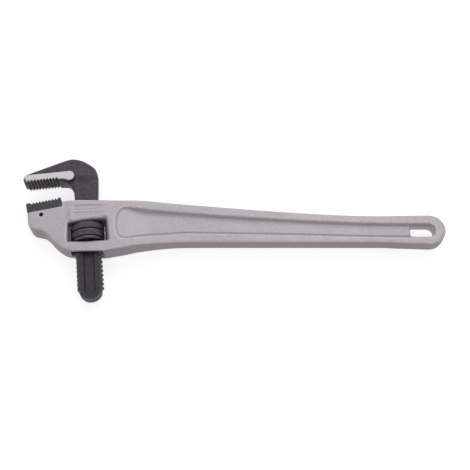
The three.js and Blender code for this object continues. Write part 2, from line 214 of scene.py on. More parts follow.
def outline_distance(points, x, y):
    """Distance from (x, y) to a closed outline, negative inside it."""
    nearest = np.full(np.broadcast(x, y).shape, np.inf, np.float32)
    inside = np.zeros(nearest.shape, bool)
    for (ax, ay), (bx, by) in zip(points, points[1:] + points[:1]):
        ex, ey = bx - ax, by - ay
        length = ex * ex + ey * ey
        if length < 1e-12:
            continue
        px, py = x - ax, y - ay
        along = np.clip((px * ex + py * ey) / length, 0, 1)
        nearest = np.minimum(nearest, (px - along * ex) ** 2 + (py - along * ey) ** 2)
        if ey:
            inside ^= ((ay > y) != (by > y)) & (px < ex * py / ey)
    return np.where(inside, -1, 1) * np.sqrt(nearest)


class Plan:
    """The distance to an outline, kept as a table so that it is quick to look up."""

    def __init__(self, outline, step=0.4, margin=8.0):
        points = [tuple(map(float, p)) for p in outline.points]
        low, high = np.min(points, 0) - margin, np.max(points, 0) + margin
        self.low, self.step = low, step
        x, y = (np.arange(a, b, step, dtype=np.float32) for a, b in zip(low, high))
        self.table = outline_distance(points, x[:, None], y[None, :])

    def __call__(self, x, y):
        u, v = (x - self.low[0]) / self.step, (y - self.low[1]) / self.step
        i = np.clip(np.floor(u).astype(int), 0, self.table.shape[0] - 2)
        j = np.clip(np.floor(v).astype(int), 0, self.table.shape[1] - 2)
        u, v, table = u - i, v - j, self.table
        low = table[i, j] * (1 - u) + table[i + 1, j] * u
        high = table[i, j + 1] * (1 - u) + table[i + 1, j + 1] * u
        return low * (1 - v) + high * v


# ---- Distance fields ----
def mix(a, b, share):
    return a + (b - a) * share


def ease(value, start, end):
    """0 before start, 1 after end, smooth between."""
    t = np.clip((value - start) / (end - start), 0, 1)
    return t * t * (3 - 2 * t)


def both(a, b, radius=0.0):
    """What lies inside a and b, with the edge between them rounded."""
    outer = np.hypot(np.maximum(a + radius, 0), np.maximum(b + radius, 0))
    return np.minimum(-radius, np.maximum(a, b)) + outer


def either(a, b, radius=0.0):
    """What lies inside a or b, with the corner between them filled."""
    inner = np.hypot(np.maximum(radius - a, 0), np.maximum(radius - b, 0))
    return np.maximum(radius, np.minimum(a, b)) - inner


def without(a, b, radius=0.0):
    return both(a, -b, radius)


def between(value, low, high):
    return np.maximum(low - value, value - high)


def thread_radius(x, y, z, gap=0.0):
    """The screw's radius in the direction and at the height of a point."""
    turn = np.arctan2(x, z) / (2 * math.pi)
    share = (y / PITCH - STARTS * turn) % 1.0
    start = mix(THREAD_ROOT, THREAD_CREST, -RIDGE_START / (CREST_START - RIDGE_START))
    shares = [0, CREST_START, CREST_END, RIDGE_END, 1 + RIDGE_START, 1]
    radii = [start, THREAD_CREST, THREAD_CREST, THREAD_ROOT, THREAD_ROOT, start]
    return gap + np.interp(share, shares, radii)


def notch(along, across, first, count):
    """Distance to a row of V-shaped notches; across is the height above their bottoms."""
    index = np.clip(np.round((along - first) / TOOTH_PITCH), 0, count - 1)
    slope = TOOTH_DEPTH / (TOOTH_PITCH / 2)
    return (np.abs(along - first - index * TOOTH_PITCH) * slope - across) / math.hypot(1, slope)


def parting_line(z, height):
    """A low ridge round the middle plane, where the halves of the mould or die met."""
    return height * np.exp(-((z / 0.7) ** 2))


# ---- Surfaces ----
SLOPE_STEP = 0.05  # how finely the way to the surface is measured
BEND_STEP = 0.7  # and how broadly its convexity
CORNERS = [(i, j, k) for i in (0, 1) for j in (0, 1) for k in (0, 1)]
EDGES = [
    (a, b) for a in CORNERS for b in CORNERS if a < b and np.abs(np.subtract(a, b)).sum() == 1
]


def crossing_mean(values, cells):
    """The mean of the points where the field changes sign on the edges of each cell."""
    total, count = np.zeros((len(cells), 3)), np.zeros(len(cells))
    for a, b in EDGES:
        low, high = values[a], values[b]
        crosses = (low < 0) != (high < 0)
        share = np.where(crosses, low / np.where(crosses, low - high, 1), 0)
        point = np.array(a)[None] + share[:, None] * np.subtract(b, a)[None]
        total += point * crosses[:, None]
        count += crosses
    return total / count[:, None]


def cell_faces(inside, number):
    """One four-sided face round each grid edge that the surface crosses."""
    faces = []
    for axis in range(3):
        order = [axis, (axis + 1) % 3, (axis + 2) % 3]
        solid, cell = inside.transpose(order), number.transpose(order)
        start, end = solid[:-1, 1:-1, 1:-1], solid[1:, 1:-1, 1:-1]
        i, j, k = np.nonzero(start != end)
        ring = [cell[i, j, k], cell[i, j + 1, k], cell[i, j + 1, k + 1], cell[i, j, k + 1]]
        quads = np.stack(ring, 1)
        leaving = start[i, j, k]
        faces.append(np.where(leaving[:, None], quads, quads[:, ::-1]))
    return np.concatenate(faces)


def slopes(field, points, step):
    """The field, its gradient and how fast the gradient turns, at each point."""
    here = field(*points.T)
    gradient, bend = np.zeros_like(points), -6.0 * here
    for axis in range(3):
        shift = np.zeros(3)
        shift[axis] = step
        ahead, behind = field(*(points + shift).T), field(*(points - shift).T)
        gradient[:, axis] = (ahead - behind) / (2 * step)
        bend += ahead + behind
    return here, gradient, bend / step**2


def surface(field, xs, ys, zs):
    """A mesh of the field's zero surface: points, faces, and how convex it is at each point."""
    values = field(xs[:, None, None], ys[None, :, None], zs[None, None, :]).astype(np.float32)
    inside = values < 0
    count = sum(
        inside[i : i + len(xs) - 1, j : j + len(ys) - 1, k : k + len(zs) - 1].astype(np.int8)
        for i, j, k in CORNERS
    )
    active = (count > 0) & (count < 8)
    cells = np.argwhere(active)
    number = np.full(active.shape, -1, np.int64)
    number[active] = np.arange(len(cells))
    corner = {c: values[tuple((cells + c).T)] for c in CORNERS}
    share = crossing_mean(corner, cells)
    lines = (xs, ys, zs)
    low = np.stack([line[cells[:, k]] for k, line in enumerate(lines)], 1)
    size = np.stack([line[cells[:, k] + 1] for k, line in enumerate(lines)], 1) - low
    points = low + share * size
    for _ in range(2):
        here, gradient, _ = slopes(field, points, SLOPE_STEP)
        square = np.maximum((gradient**2).sum(1), 0.1)
        step = gradient * (here / square)[:, None]
        points = np.clip(points - step, low - 0.3 * size, low + 1.3 * size)
    _, _, bend = slopes(field, points, BEND_STEP)
    return points, cell_faces(inside, number), bend


def grid(*stretches):
    """Grid lines from (start, end, spacing) stretches that follow each other."""
    lines = [np.arange(0, 1, 1 / max(1, round((b - a) / s))) * (b - a) + a for a, b, s in stretches]
    return np.concatenate([*lines, [stretches[-1][1]]])


# ---- Pieces ----
def mesh_object(name, points, faces, outward=False):
    """A smooth-shaded mesh; outward turns the faces of a closed mesh to face out."""
    mesh = bpy.data.meshes.new(name)
    mesh.from_pydata(np.asarray(points).tolist(), [], np.asarray(faces, object).tolist())
    if outward:
        work = bmesh.new()
        work.from_mesh(mesh)
        bmesh.ops.recalc_face_normals(work, faces=work.faces)
        work.to_mesh(mesh)
        work.free()
    mesh.shade_smooth()
    made = bpy.data.objects.new(name, mesh)
    bpy.context.collection.objects.link(made)
    return made


def tube_faces(rows, count):
    """The faces of a closed tube whose points come in rows, each a ring of count points."""
    faces = []
    for i in range(rows - 1):
        for k in range(count):
            a, b = i * count + k, i * count + (k + 1) % count
            faces.append((a, a + count, b + count, b))
    last = (rows - 1) * count
    return faces + [tuple(range(count)), tuple(reversed(range(last, last + count)))]


def sharpen(made, angle=math.radians(35)):
    """Edges sharper than the angle are shaded as edges."""
    made.data.set_sharp_from_angle(angle=angle)


def tag(made, name, values):
    """Stores one number per point, for the materials to read."""
    attribute = made.data.attributes.new(name, "FLOAT", "POINT")
    attribute.data.foreach_set("value", np.asarray(values, np.float32))


def settle(made, node, body, material):
    """Makes a piece stand for a CAD node, on its body, with its material."""
    made.data.materials.append(material)
    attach(made, body)
    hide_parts(node)


# ---- The casting: head and handle in one ----
def casting_plan():
    """The casting's outline, drawn a little past the heel jaw's seat, which is cut afterwards."""
    shape = Outline(*HEEL.design(-0.6, 4.0))
    shape.line(HEEL.design(0, 0), (-63.8, 11.0))
    shape.quad((-62.4, 3.1), (-54.0, 1.8))
    shape.cubic((-47.5, 0.6), (-45.0, -0.4), (-41.0, -4.7))
    shape.spline((-33.3, -12.8), (-24.4, -19.4), (-13.9, -22.6))
    shape.line((18.4, -22.4))
    shape.spline((38.0, -18.8), (57.0, -15.2), (90.0, -12.1), (122.0, -11.3))
    shape.spline((300.0, -11.4), (336.0, -12.3), (END_CENTRE[0], END_CENTRE[1] - END_RADIUS))
    shape.arc(END_CENTRE, END_RADIUS, -math.pi / 2, math.pi / 2, 40)
    shape.spline(
        (306.0, 20.1), (252.0, 22.2), (187.0, 26.8), (122.0, 32.5),
        (45.0, 39.1), (16.0, 40.3), (-10.0, 39.2),
    )
    shape.line(HEEL.design(HEEL_LENGTH + FIT, 6.3), HEEL.design(HEEL_LENGTH - 5, 7.2))
    return Plan(shape)


def recess_plan():
    """The rim of the long recess in each side of the handle."""
    shape = Outline(40.0, -8.0)
    shape.spline(
        (67.5, -4.6), (100.0, -1.6), (122.0, -1.3), (228.0, -3.2), (303.0, -5.2), (365.0, -5.6)
    )
    shape.arc((365.5, 3.2), 8.8, -math.pi / 2, math.pi / 2)
    shape.spline(
        (303.0, 12.4), (228.0, 15.8), (153.0, 20.6), (99.0, 25.0), (55.0, 28.8), (42.0, 29.8)
    )
    shape.quad((29.6, 29.4), (29.6, 11.4), 12)
    shape.quad((30.4, -8.0), (40.0, -8.0), 12)
    return Plan(shape)


BRIDGE_LEVELS = [17, 22.4, 23.9, 24.6, 27.0, 30.5, 32.1, 60]
GROOVE_DEPTHS = [0.75, 0.75, 0, 0, 1.2, 1.2, 0, 0]  # of its two grooves, at those levels


def bridge_height(x, y):
    """How far the bridge over the shank stands above the flat of the head, with its grooves."""
    ramp_low = -26.4 + (33.3 - y) * 4.7 / 19.1
    ramp_high = -17.6 - (32.9 - y) * 0.7 / 19.0
    ramp = np.clip((x - ramp_low) / (ramp_high - ramp_low), 0, 1)
    rise = BRIDGE_RISE * ramp * (1 - ease(x, 12, 28)) * ease(y, 11.5, 14.5)
    depth = np.interp(y - 0.03 * x, BRIDGE_LEVELS, GROOVE_DEPTHS)
    return rise - depth * ease(x, -17.2, -14.2) * (1 - ease(x, 9, 21)) * ease(y, 11, 14)


WINDOW_INNER = [
    (WINDOW_LEFT, -CHAMBER), (WINDOW_RIGHT, -CHAMBER),
    (WINDOW_RIGHT, CHAMBER), (WINDOW_LEFT, CHAMBER),
]
FLARE_START, FLARE_END = 3.0, 14.1  # heights above the middle plane
FLARE_SCALE = 0.93  # from a distance along the plane to the distance from the leaning wall


def window(hx, hy, up):
    """The nut's window, which flares towards the face of the head."""
    share = np.clip((up - FLARE_START) / (FLARE_END - FLARE_START), 0, 1.3)
    ring = [
        (mix(a[0], b[0], share), mix(a[1], b[1], share))
        for a, b in zip(WINDOW_INNER, WINDOW_OUTER)
    ]
    sides = []
    for (ax, ay), (bx, by) in zip(ring, ring[1:] + ring[:1]):
        ex, ey = bx - ax, by - ay
        sides.append(FLARE_SCALE * ((hx - ax) * ey - (hy - ay) * ex) / np.hypot(ex, ey))
    bottom, right, top, left = sides
    return both(both(right, top, 3.5), both(bottom, left, 2.0), 2.8)


def head_openings(x, y, z):
    """The window, the nut's chamber, the passages of shank and spring, and the coil's pocket."""
    hx, hy = HEAD.local(x, y)
    up = np.abs(z)
    drum = both(np.hypot(hx, z) - NUT_RADIUS - DRUM_PLAY, np.abs(hy) - CHAMBER, 0.5)
    wall = SHANK_THICK / 2 + PASSAGE_ROOM + 2.2 * ease(-hy, 17, 23)
    passage = both(between(hx, PASSAGE_LEFT, PASSAGE_RIGHT), up - wall, 0.8)
    channel = both(
        between(hx, CHANNEL_LEFT, PASSAGE_LEFT + 1), up - LEAF_WIDTH / 2 - PASSAGE_ROOM
    )
    channel = np.maximum(channel, np.abs(hy) - CHANNEL_HALF)
    pocket = np.maximum(
        np.hypot(hy - COIL_HEIGHT, z) - POCKET_RADIUS,
        between(hx, POCKET_FLOOR, POCKET_FLOOR + POCKET_DEPTH),
    )
    openings = np.minimum(window(hx, hy, up), np.minimum(drum, passage))
    return np.minimum(openings, np.minimum(channel, pocket))


def heel_seat(x, y):
    """The space over the seat that the heel jaw lies on."""
    u, v = HEEL.local(x, y)
    return both(-v, u - HEEL_LENGTH - FIT)


def pin_hole(u, v):
    return np.hypot(u - PIN_AT[0], v - PIN_AT[1]) - PIN_RADIUS - PIN_ROOM


def heel_openings(x, y, z):
    """The slot for the heel jaw's tenon, and the hole for its pin."""
    u, v = HEEL.local(x, y)
    slot = np.maximum(between(u, -2, HEEL_LENGTH - 3.7), between(v, -TENON_DEPTH - FIT, 3))
    slot = np.maximum(slot, np.abs(z) - TENON_THICK / 2 - FIT)
    return np.minimum(slot, pin_hole(u, v))


RECESS_LEAN = 0.62  # the recess's wall leans out by this much for each mm of height
RECESS_SCALE = 0.84  # from a distance along the plane to the distance from that wall


def casting_field(plan):
    recess, hang_slot = recess_plan(), Plan(rounded(HANG_SLOT, 4.5))

    def field(x, y, z):
        up = np.abs(z)
        share = ease(x, TAPER_START, TAPER_END)
        flat = mix(HEAD_THICK / 2, HANDLE_THICK / 2, share)
        half = flat + bridge_height(x, y)
        body = both(plan(x, y) - parting_line(z, 0.16), up - half, mix(2.8, 3.3, share))
        web = mix(flat - 1.5, WEB_THICK / 2, ease(x, 26, 66))
        wall = RECESS_SCALE * (recess(x, y) + 0.1 + RECESS_LEAN * (flat - up))
        body = without(body, both(wall, web - up, 1.6), 0.9 + 0.5 * ease(x, 40, 75))
        body = without(body, hang_slot(x, y), 1.3)
        body = without(body, head_openings(x, y, z), 0.9 + 1.1 * ease(up, 8, 12))
        body = without(body, heel_seat(x, y), 0.35)
        return without(body, heel_openings(x, y, z), 0.4)

    return field


def make_casting(material):
    xs = grid((-67.2, 30, 0.72), (30, 95, 1.25), (95, 333, 2.6), (333, 386, 1.1))
    ys = grid((-24.2, 41.4, 0.72))
    zs = grid((-14.2, -8.2, 0.62), (-8.2, 8.2, 0.8), (8.2, 14.2, 0.62))
    plan = casting_plan()
    points, faces, bend = surface(casting_field(plan), xs, ys, zs)
    made = mesh_object("casting", DESIGN.metres(points), faces)
    x, y, z = points.T
    opening = 1 - ease(head_openings(x, y, z), 0.3, 0.9)
    ceiling = ease(HEAD.local(x, y)[1], 7, 10)
    tag(made, "bend", bend)
    # painted shade: the outer side walls, near the outline, are tagged to be drawn darker
    tag(made, "side", ease(plan(x, y), -0.9, -0.1) * (1 - opening))
    # painted shade: the walls inside the nut's window, up towards the face, are tagged to be drawn
    # nearly black
    tag(made, "inside", opening * (1 - ease(np.abs(z) - 2.8 * ceiling, 5.0, 8.6)))
    settle(made, "cast_handle", "handle", material)


# ---- The hook jaw: hook and threaded shank in one ----
def hook_plan():
    """The hook and its neck, which reaches down into the threaded shank."""
    shape = Outline(11.5, 28.0)
    shape.line((12.0, 34.4), (13.0, 38.0))
    shape.spline(
        (13.5, 46.0), (14.5, 64.0), (13.4, 75.4), (7.7, 82.8),
        (-1.4, 89.1), (-12.4, 91.9), (-24.0, 89.7),
    )
    shape.arc((-59.9, 71.5), 7.2, 1.864, 2.95)
    shape.line((-65.6, TOOTH_LINE), (-28.0, TOOTH_LINE))
    shape.cubic((-21.5, TOOTH_LINE), (-12.8, 60.5), (-12.2, 50.0))
    shape.line((-11.7, 38.0), (-11.5, 34.4), (-11.5, 28.0))
    return Plan(shape, 0.3)


def flank_plan():
    """The machined flat beside the teeth."""
    shape = Outline(-62.5, TOOTH_LINE)
    shape.line((-28.0, TOOTH_LINE))
    shape.quad((-23.0, TOOTH_LINE), (-20.2, 65.9))
    shape.arc((-15.8, 70.0), 5.6, -2.3, math.pi / 2)
    shape.line((-59.5, 75.6))
    shape.quad((-65.6, 75.0), (-65.2, 72.0))
    return Plan(shape, 0.3)


def bar_plan():
    """The shank's round end, and more than its width above that."""
    end = SHANK_BOTTOM + SHANK_TIP
    shape = Outline(20.0, THREAD_TOP + 5)
    shape.line((-20.0, THREAD_TOP + 5), (-20.0, end))
    shape.arc((0, end), SHANK_TIP, math.pi, 2 * math.pi)
    shape.line((20.0, end))
    return Plan(shape, 0.3)


def trough_distance(x, y):
    return np.hypot(x, y - np.clip(y, TROUGH_LOW, TROUGH_HIGH)) - TROUGH_RADIUS


def shank_distance(bar, x, y, z):
    """A threaded bar with two flat faces and a trough in each."""
    up = np.abs(z)
    flats = both(bar(x, y), up - SHANK_THICK / 2, 0.9)
    run_out = ease(y, -65.5, -63.5)
    radius = mix(THREAD_ROOT, thread_radius(x, y, z), run_out)
    screw = FLANK_SCALE * (np.hypot(x, z) - radius)
    shank = np.maximum(both(flats, screw, 0.25), y - THREAD_TOP)
    floor = SHANK_THICK / 2 - TROUGH_DEPTH
    return without(shank, both(trough_distance(x, y), floor - up, 0.4), 0.4)


def hook_notches(x, y):
    across = TOOTH_LINE + TOOTH_DEPTH - y
    return np.maximum(notch(x, across, HOOK_FIRST_NOTCH, HOOK_NOTCHES), TOOTH_LINE - 2.1 - y)


def bend_hollow(x, y, up):
    """The shallow dish in each side of the bend, beside the end of the milled flat."""
    reach = np.sqrt(((x + 6.9) / 4.6) ** 2 + ((y - 63.6) / 4.4) ** 2 + ((up - 7.6) / 2.0) ** 2)
    return 2.0 * (reach - 1)


def hook_field(flank):
    plan, bar = hook_plan(), bar_plan()

    def field(x, y, z):
        up = np.abs(z)
        half = mix(SHANK_THICK / 2, BEND_THICK / 2, ease(y, 62, 71))
        parting = parting_line(z, 0.15) * ease(y, 63, 66)
        rim = mix(2.0, 4.2, ease(x, -14, 9))
        hook = both(plan(x, y) - parting, up - half, rim)
        hook = without(hook, bend_hollow(x, y, up), 1.6)
        pad = both(flank(x, y), up - JAW_THICK / 2, 0.6)
        head = either(hook, pad, 1.3)
        head = without(head, hook_notches(x, y), 0.12)
        return either(head, shank_distance(bar, x, y, z), 0.5)

    return field


def make_hook(steel):
    xs = grid((-67.2, 16, 0.46))
    ys = grid((-76.2, 28, 0.5), (28, 93.2, 0.48))
    zs = grid((-12.2, 12.2, 0.5))
    flank = flank_plan()
    points, faces, bend = surface(hook_field(flank), xs, ys, zs)
    made = mesh_object("hook_jaw_forging", HEAD.metres(points), faces)
    x, y, z = points.T
    milled = (1 - ease(flank(x, y), -0.2, 0.2)) * ease(np.abs(z), 10.4, 11.0)
    low = y - TOOTH_LINE
    under = (1 - ease(low, 0.1, 1.7)) * (1 - ease(x, -31, -22)) * ease(low, -2.5, -1.5)
    corner = np.abs(trough_distance(x, y) + 0.25)
    tag(made, "bend", bend)
    tag(made, "milled", milled)
    tag(made, "teeth", under * (1 - milled))
    tag(made, "oil", 1 - ease(y, 20, 45))
    # painted shade along the edges of the shank's troughs
    tag(made, "trough_shade", (1 - ease(corner, 0.3, 1.0)) * (1 - ease(y, 30, 38)))
    settle(made, "hook_jaw", "hook", steel)


# ---- The heel jaw and its pin ----
def heel_field(u, v, z):
    block = both(between(u, 0, HEEL_LENGTH), between(v, FIT, HEEL_HEIGHT), 0.5)
    block = both(block, np.abs(z) - HEEL_THICK / 2, 0.6)
    root = HEEL_HEIGHT - TOOTH_DEPTH
    block = without(block, notch(u, v - root, HEEL_FIRST_NOTCH, HEEL_NOTCHES), 0.12)
    tenon = np.maximum(between(u, 0.4, HEEL_LENGTH - 4), between(v, -TENON_DEPTH, 1))
    tenon = both(tenon, np.abs(z) - TENON_THICK / 2, 0.4)
    return without(either(block, tenon, 0.3), pin_hole(u, v), 0.3)


def make_heel(steel):
    xs, ys = grid((-0.8, 38.6, 0.42)), grid((-9.7, 11.8, 0.42))
    zs = grid((-13.5, 13.5, 0.5))
    points, faces, bend = surface(heel_field, xs, ys, zs)
    made = mesh_object("heel_jaw_insert", HEEL.metres(points), faces)
    tag(made, "bend", bend)
    tag(made, "teeth", ease(points[:, 1], HEEL_HEIGHT - 2.1, HEEL_HEIGHT - 0.4))
    settle(made, "heel_jaw", "handle", steel)


def make_pin(material):
    """Rolled from sheet, so it is a tube with a slit and with chamfered ends."""
    half, wall, slit, steps = HEAD_THICK / 2 - 1.5, 0.7, 0.25, 40
    outer, inner, chamfer = PIN_RADIUS, PIN_RADIUS - wall, PIN_RADIUS - 0.35
    section = [
        (chamfer, -half), (outer, -half + 0.6), (outer, half - 0.6), (chamfer, half),
        (inner, half), (inner, -half),
    ]
    points = []
    for i in range(steps + 1):
        angle = slit + (2 * math.pi - 2 * slit) * i / steps
        across, along = math.cos(angle), math.sin(angle)
        points += [(PIN_AT[0] + r * across, PIN_AT[1] + r * along, z) for r, z in section]
    faces = tube_faces(steps + 1, len(section))
    made = mesh_object("slotted_pin", HEEL.metres(np.array(points)), faces, outward=True)
    sharpen(made)
    settle(made, "heel_jaw_pin", "handle", material)


# ---- The adjusting nut ----
KNURL_LINES = 62
KNURL_DEPTH = 0.5


def nut_profile():
    """The nut's radius along its axis: a collar, a groove and two broad bands."""
    top, radius = NUT_HEIGHT / 2, NUT_RADIUS
    shape = Outline(0.0, -top)
    shape.line(
        (radius - 1.2, -top), (radius - 0.4, -top + 0.8), (radius - 0.4, -top + 2.2),
        (radius - 1.6, -top + 2.8), (radius - 1.6, -top + 3.6), (radius, -top + 4.2),
        (radius, 0.6), (radius - 1.8, 1.4), (radius - 1.8, 2.4), (radius, 3.2),
        (radius, top - 1), (radius - 1.2, top), (0.0, top),
    )
    return Plan(shape, 0.15, 3.0)


def knurl_depth(x, y, z, radius):
    """Crossing grooves on the nut's two broad bands."""
    top, turn = NUT_HEIGHT / 2, np.arctan2(x, z)
    lean = KNURL_LINES / NUT_RADIUS * y
    leaning_left = np.abs(np.sin((KNURL_LINES * turn + lean) / 2))
    leaning_right = np.abs(np.sin((KNURL_LINES * turn - lean) / 2))
    groove = 1 - np.minimum(1.25 * np.minimum(leaning_left, leaning_right), 1)
    bands = ease(y, 2.6, 3.4) * (1 - ease(y, top - 1.2, top - 0.6))
    bands = bands + ease(y, -top + 3.8, -top + 4.6) * (1 - ease(y, 0.1, 0.8))
    return KNURL_DEPTH * groove * bands * ease(radius, 15, 16.5)


def nut_field():
    profile = nut_profile()
    top = NUT_HEIGHT / 2

    def field(x, y, z):
        radius = np.hypot(x, z)
        body = profile(radius, y) + knurl_depth(x, y, z, radius)
        bore = FLANK_SCALE * (radius - thread_radius(x, y, z, THREAD_GAP))
        funnel = 0.707 * (radius - THREAD_CREST - 0.6 - np.abs(y) + top)
        return without(body, np.minimum(bore, funnel), 0.25)

    return field


def make_nut(steel):
    ring, ys = grid((-18.5, 18.5, 0.33)), grid((-9.9, 9.9, 0.33))
    points, faces, bend = surface(nut_field(), ring, ys, ring)
    made = mesh_object("knurled_nut", HEAD.metres(points), faces)
    tag(made, "bend", bend)
    settle(made, "adjusting_nut", "nut", steel)


# ---- The springs and their rivet ----
def strip_path():
    """The middle of the strip, which steps back to go round the nut."""
    bends = Outline(LEAF_NEAR, -22.4)
    bends.line((LEAF_NEAR, -17.4)).quad((LEAF_NEAR, -16.6), (LEAF_NEAR - 0.6, -15.8))
    bends.line((LEAF_FAR + 0.6, -11.8)).quad((LEAF_FAR, -11.0), (LEAF_FAR, -10.0))
    bends.line((LEAF_FAR, 10.0)).quad((LEAF_FAR, 11.0), (LEAF_FAR + 0.6, 11.8))
    bends.line((LEAF_NEAR - 0.6, 16.8)).quad((LEAF_NEAR, 17.6), (LEAF_NEAR, 18.4))
    bends.line((LEAF_NEAR, 27.0))
    return np.array(bends.points)


def make_strip(material):
    """A flat spring bent from strip, with its long edges rounded."""
    path = strip_path()
    ahead = np.gradient(path, axis=0)
    side = np.stack([ahead[:, 1], -ahead[:, 0]], 1) / np.linalg.norm(ahead, axis=1)[:, None]
    half, wide, edge = LEAF_THICK / 2, LEAF_WIDTH / 2, 0.2
    section = [(half, wide - edge), (half - edge, wide), (edge - half, wide), (-half, wide - edge)]
    section += [(out, -z) for out, z in reversed(section)]
    points = [(*(at + out * away), z) for at, away in zip(path, side) for out, z in section]
    faces = tube_faces(len(path), len(section))
    made = mesh_object("spring_strip", HEAD.metres(np.array(points)), faces, outward=True)
    sharpen(made)
    settle(made, "flat_spring", "spring_leaf", material)


def make_coil(material):
    """A coil of round wire, evenly wound."""
    low = POCKET_FLOOR + WIRE_RADIUS + 0.1
    high = LEAF_NEAR - LEAF_THICK / 2 - WIRE_RADIUS - ROCK_ROOM
    steps, sides = 30, 10
    total = steps * COIL_TURNS
    axis = np.array([1, 0, 0])
    points = []
    for i in range(total + 1):
        angle = 2 * math.pi * i / steps
        out = np.array([0, math.sin(angle), math.cos(angle)])
        centre = np.array([mix(low, high, i / total), COIL_HEIGHT, 0]) + COIL_RADIUS * out
        for k in range(sides):
            around = 2 * math.pi * k / sides
            points.append(centre + WIRE_RADIUS * (math.cos(around) * out + math.sin(around) * axis))
    faces = tube_faces(total + 1, sides)
    made = mesh_object("coil", HEAD.metres(np.array(points)), faces, outward=True)
    sharpen(made, math.radians(60))
    settle(made, "coil_spring", "handle", material)


def make_rivet(material):
    """A rivet with a domed head, which keeps the coil in place on the flat spring."""
    face = LEAF_NEAR + LEAF_THICK / 2
    profile = [
        (0.8, 0.0), (0.9, 0.15), (0.9, 2.3), (1.15, 2.4),
        (1.2, 2.6), (1.1, 2.9), (0.8, 3.1), (0.4, 3.15),
    ]
    sides = 28
    angles = [2 * math.pi * k / sides for k in range(sides)]
    points = [
        (face - back, COIL_HEIGHT + radius * math.sin(angle), radius * math.cos(angle))
        for radius, back in profile
        for angle in angles
    ]
    faces = tube_faces(len(profile), sides)
    made = mesh_object("rivet", HEAD.metres(np.array(points)), faces, outward=True)
    sharpen(made)
    settle(made, "spring_rivet", "spring_leaf", material)


# ---- Materials ----
class Look:
    """A material built from nodes. Most methods add a node and return its output."""

    def __init__(self, name, metallic, specular=0.5):
        self.material = bpy.data.materials.new(name)
        self.material.use_nodes = True
        self.tree = self.material.node_tree
        self.tree.nodes.clear()
        output = self.tree.nodes.new("ShaderNodeOutputMaterial")
        self.shader = self.tree.nodes.new("ShaderNodeBsdfPrincipled")
        self.shader.inputs["Metallic"].default_value = metallic
        self.shader.inputs["Specular IOR Level"].default_value = specular
        self.tree.links.new(self.shader.outputs["BSDF"], output.inputs["Surface"])
        coordinates = self.tree.nodes.new("ShaderNodeTexCoord")
        self.place = coordinates.outputs["Object"]

    def link(self, source, socket):
        self.tree.links.new(source, socket)

    def set(self, name, source):
        self.link(source, self.shader.inputs[name])

    def stretched(self, turn, scale):
        """Object coordinates turned about Z and scaled."""
        node = self.tree.nodes.new("ShaderNodeMapping")
        node.inputs["Rotation"].default_value = (0, 0, turn)
        node.inputs["Scale"].default_value = scale
        self.link(self.place, node.inputs["Vector"])
        return node.outputs["Vector"]

    def noise(self, size_mm, detail=3.0, roughness=0.55, vector=None):
        node = self.tree.nodes.new("ShaderNodeTexNoise")
        node.inputs["Scale"].default_value = 1 / (size_mm * MM)
        node.inputs["Detail"].default_value = detail
        node.inputs["Roughness"].default_value = roughness
        self.link(vector or self.place, node.inputs["Vector"])
        return node.outputs["Fac"]

    def attribute(self, name):
        node = self.tree.nodes.new("ShaderNodeAttribute")
        node.attribute_name = name
        return node.outputs["Fac"]

    def spread(self, source, low, high, to_low=0.0, to_high=1.0):
        """The source's range from low to high, spread over to_low to to_high."""
        node = self.tree.nodes.new("ShaderNodeMapRange")
        node.interpolation_type = "SMOOTHSTEP"
        node.inputs["From Min"].default_value = low
        node.inputs["From Max"].default_value = high
        node.inputs["To Min"].default_value = to_low
        node.inputs["To Max"].default_value = to_high
        self.link(source, node.inputs["Value"])
        return node.outputs["Result"]

    def maths(self, operation, a, b):
        node = self.tree.nodes.new("ShaderNodeMath")
        node.operation = operation
        for socket, value in zip(node.inputs, (a, b)):
            if isinstance(value, (int, float)):
                socket.default_value = value
            else:
                self.link(value, socket)
        return node.outputs[0]

    def times(self, a, b):
        return self.maths("MULTIPLY", a, b)

    def blend(self, share, a, b):
        """From colour a to colour b; a colour is three numbers or another output."""
        node = self.tree.nodes.new("ShaderNodeMix")
        node.data_type = "RGBA"
        colours = [s for s in node.inputs if s.type == "RGBA"]
        for socket, value in zip(colours, (a, b)):
            if isinstance(value, tuple):
                socket.default_value = (*value, 1)
            else:
                self.link(value, socket)
        self.link(share, node.inputs["Factor"])
        return next(s for s in node.outputs if s.type == "RGBA")

    def bump(self, *layers):
        """Bumps from (height, depth in mm) layers."""
        normal = None
        for height, depth_mm in layers:
            node = self.tree.nodes.new("ShaderNodeBump")
            node.inputs["Strength"].default_value = 1.0
            node.inputs["Distance"].default_value = depth_mm * MM
            self.link(height, node.inputs["Height"])
            if normal:
                self.link(normal, node.inputs["Normal"])
            normal = node.outputs["Normal"]
        self.set("Normal", normal)


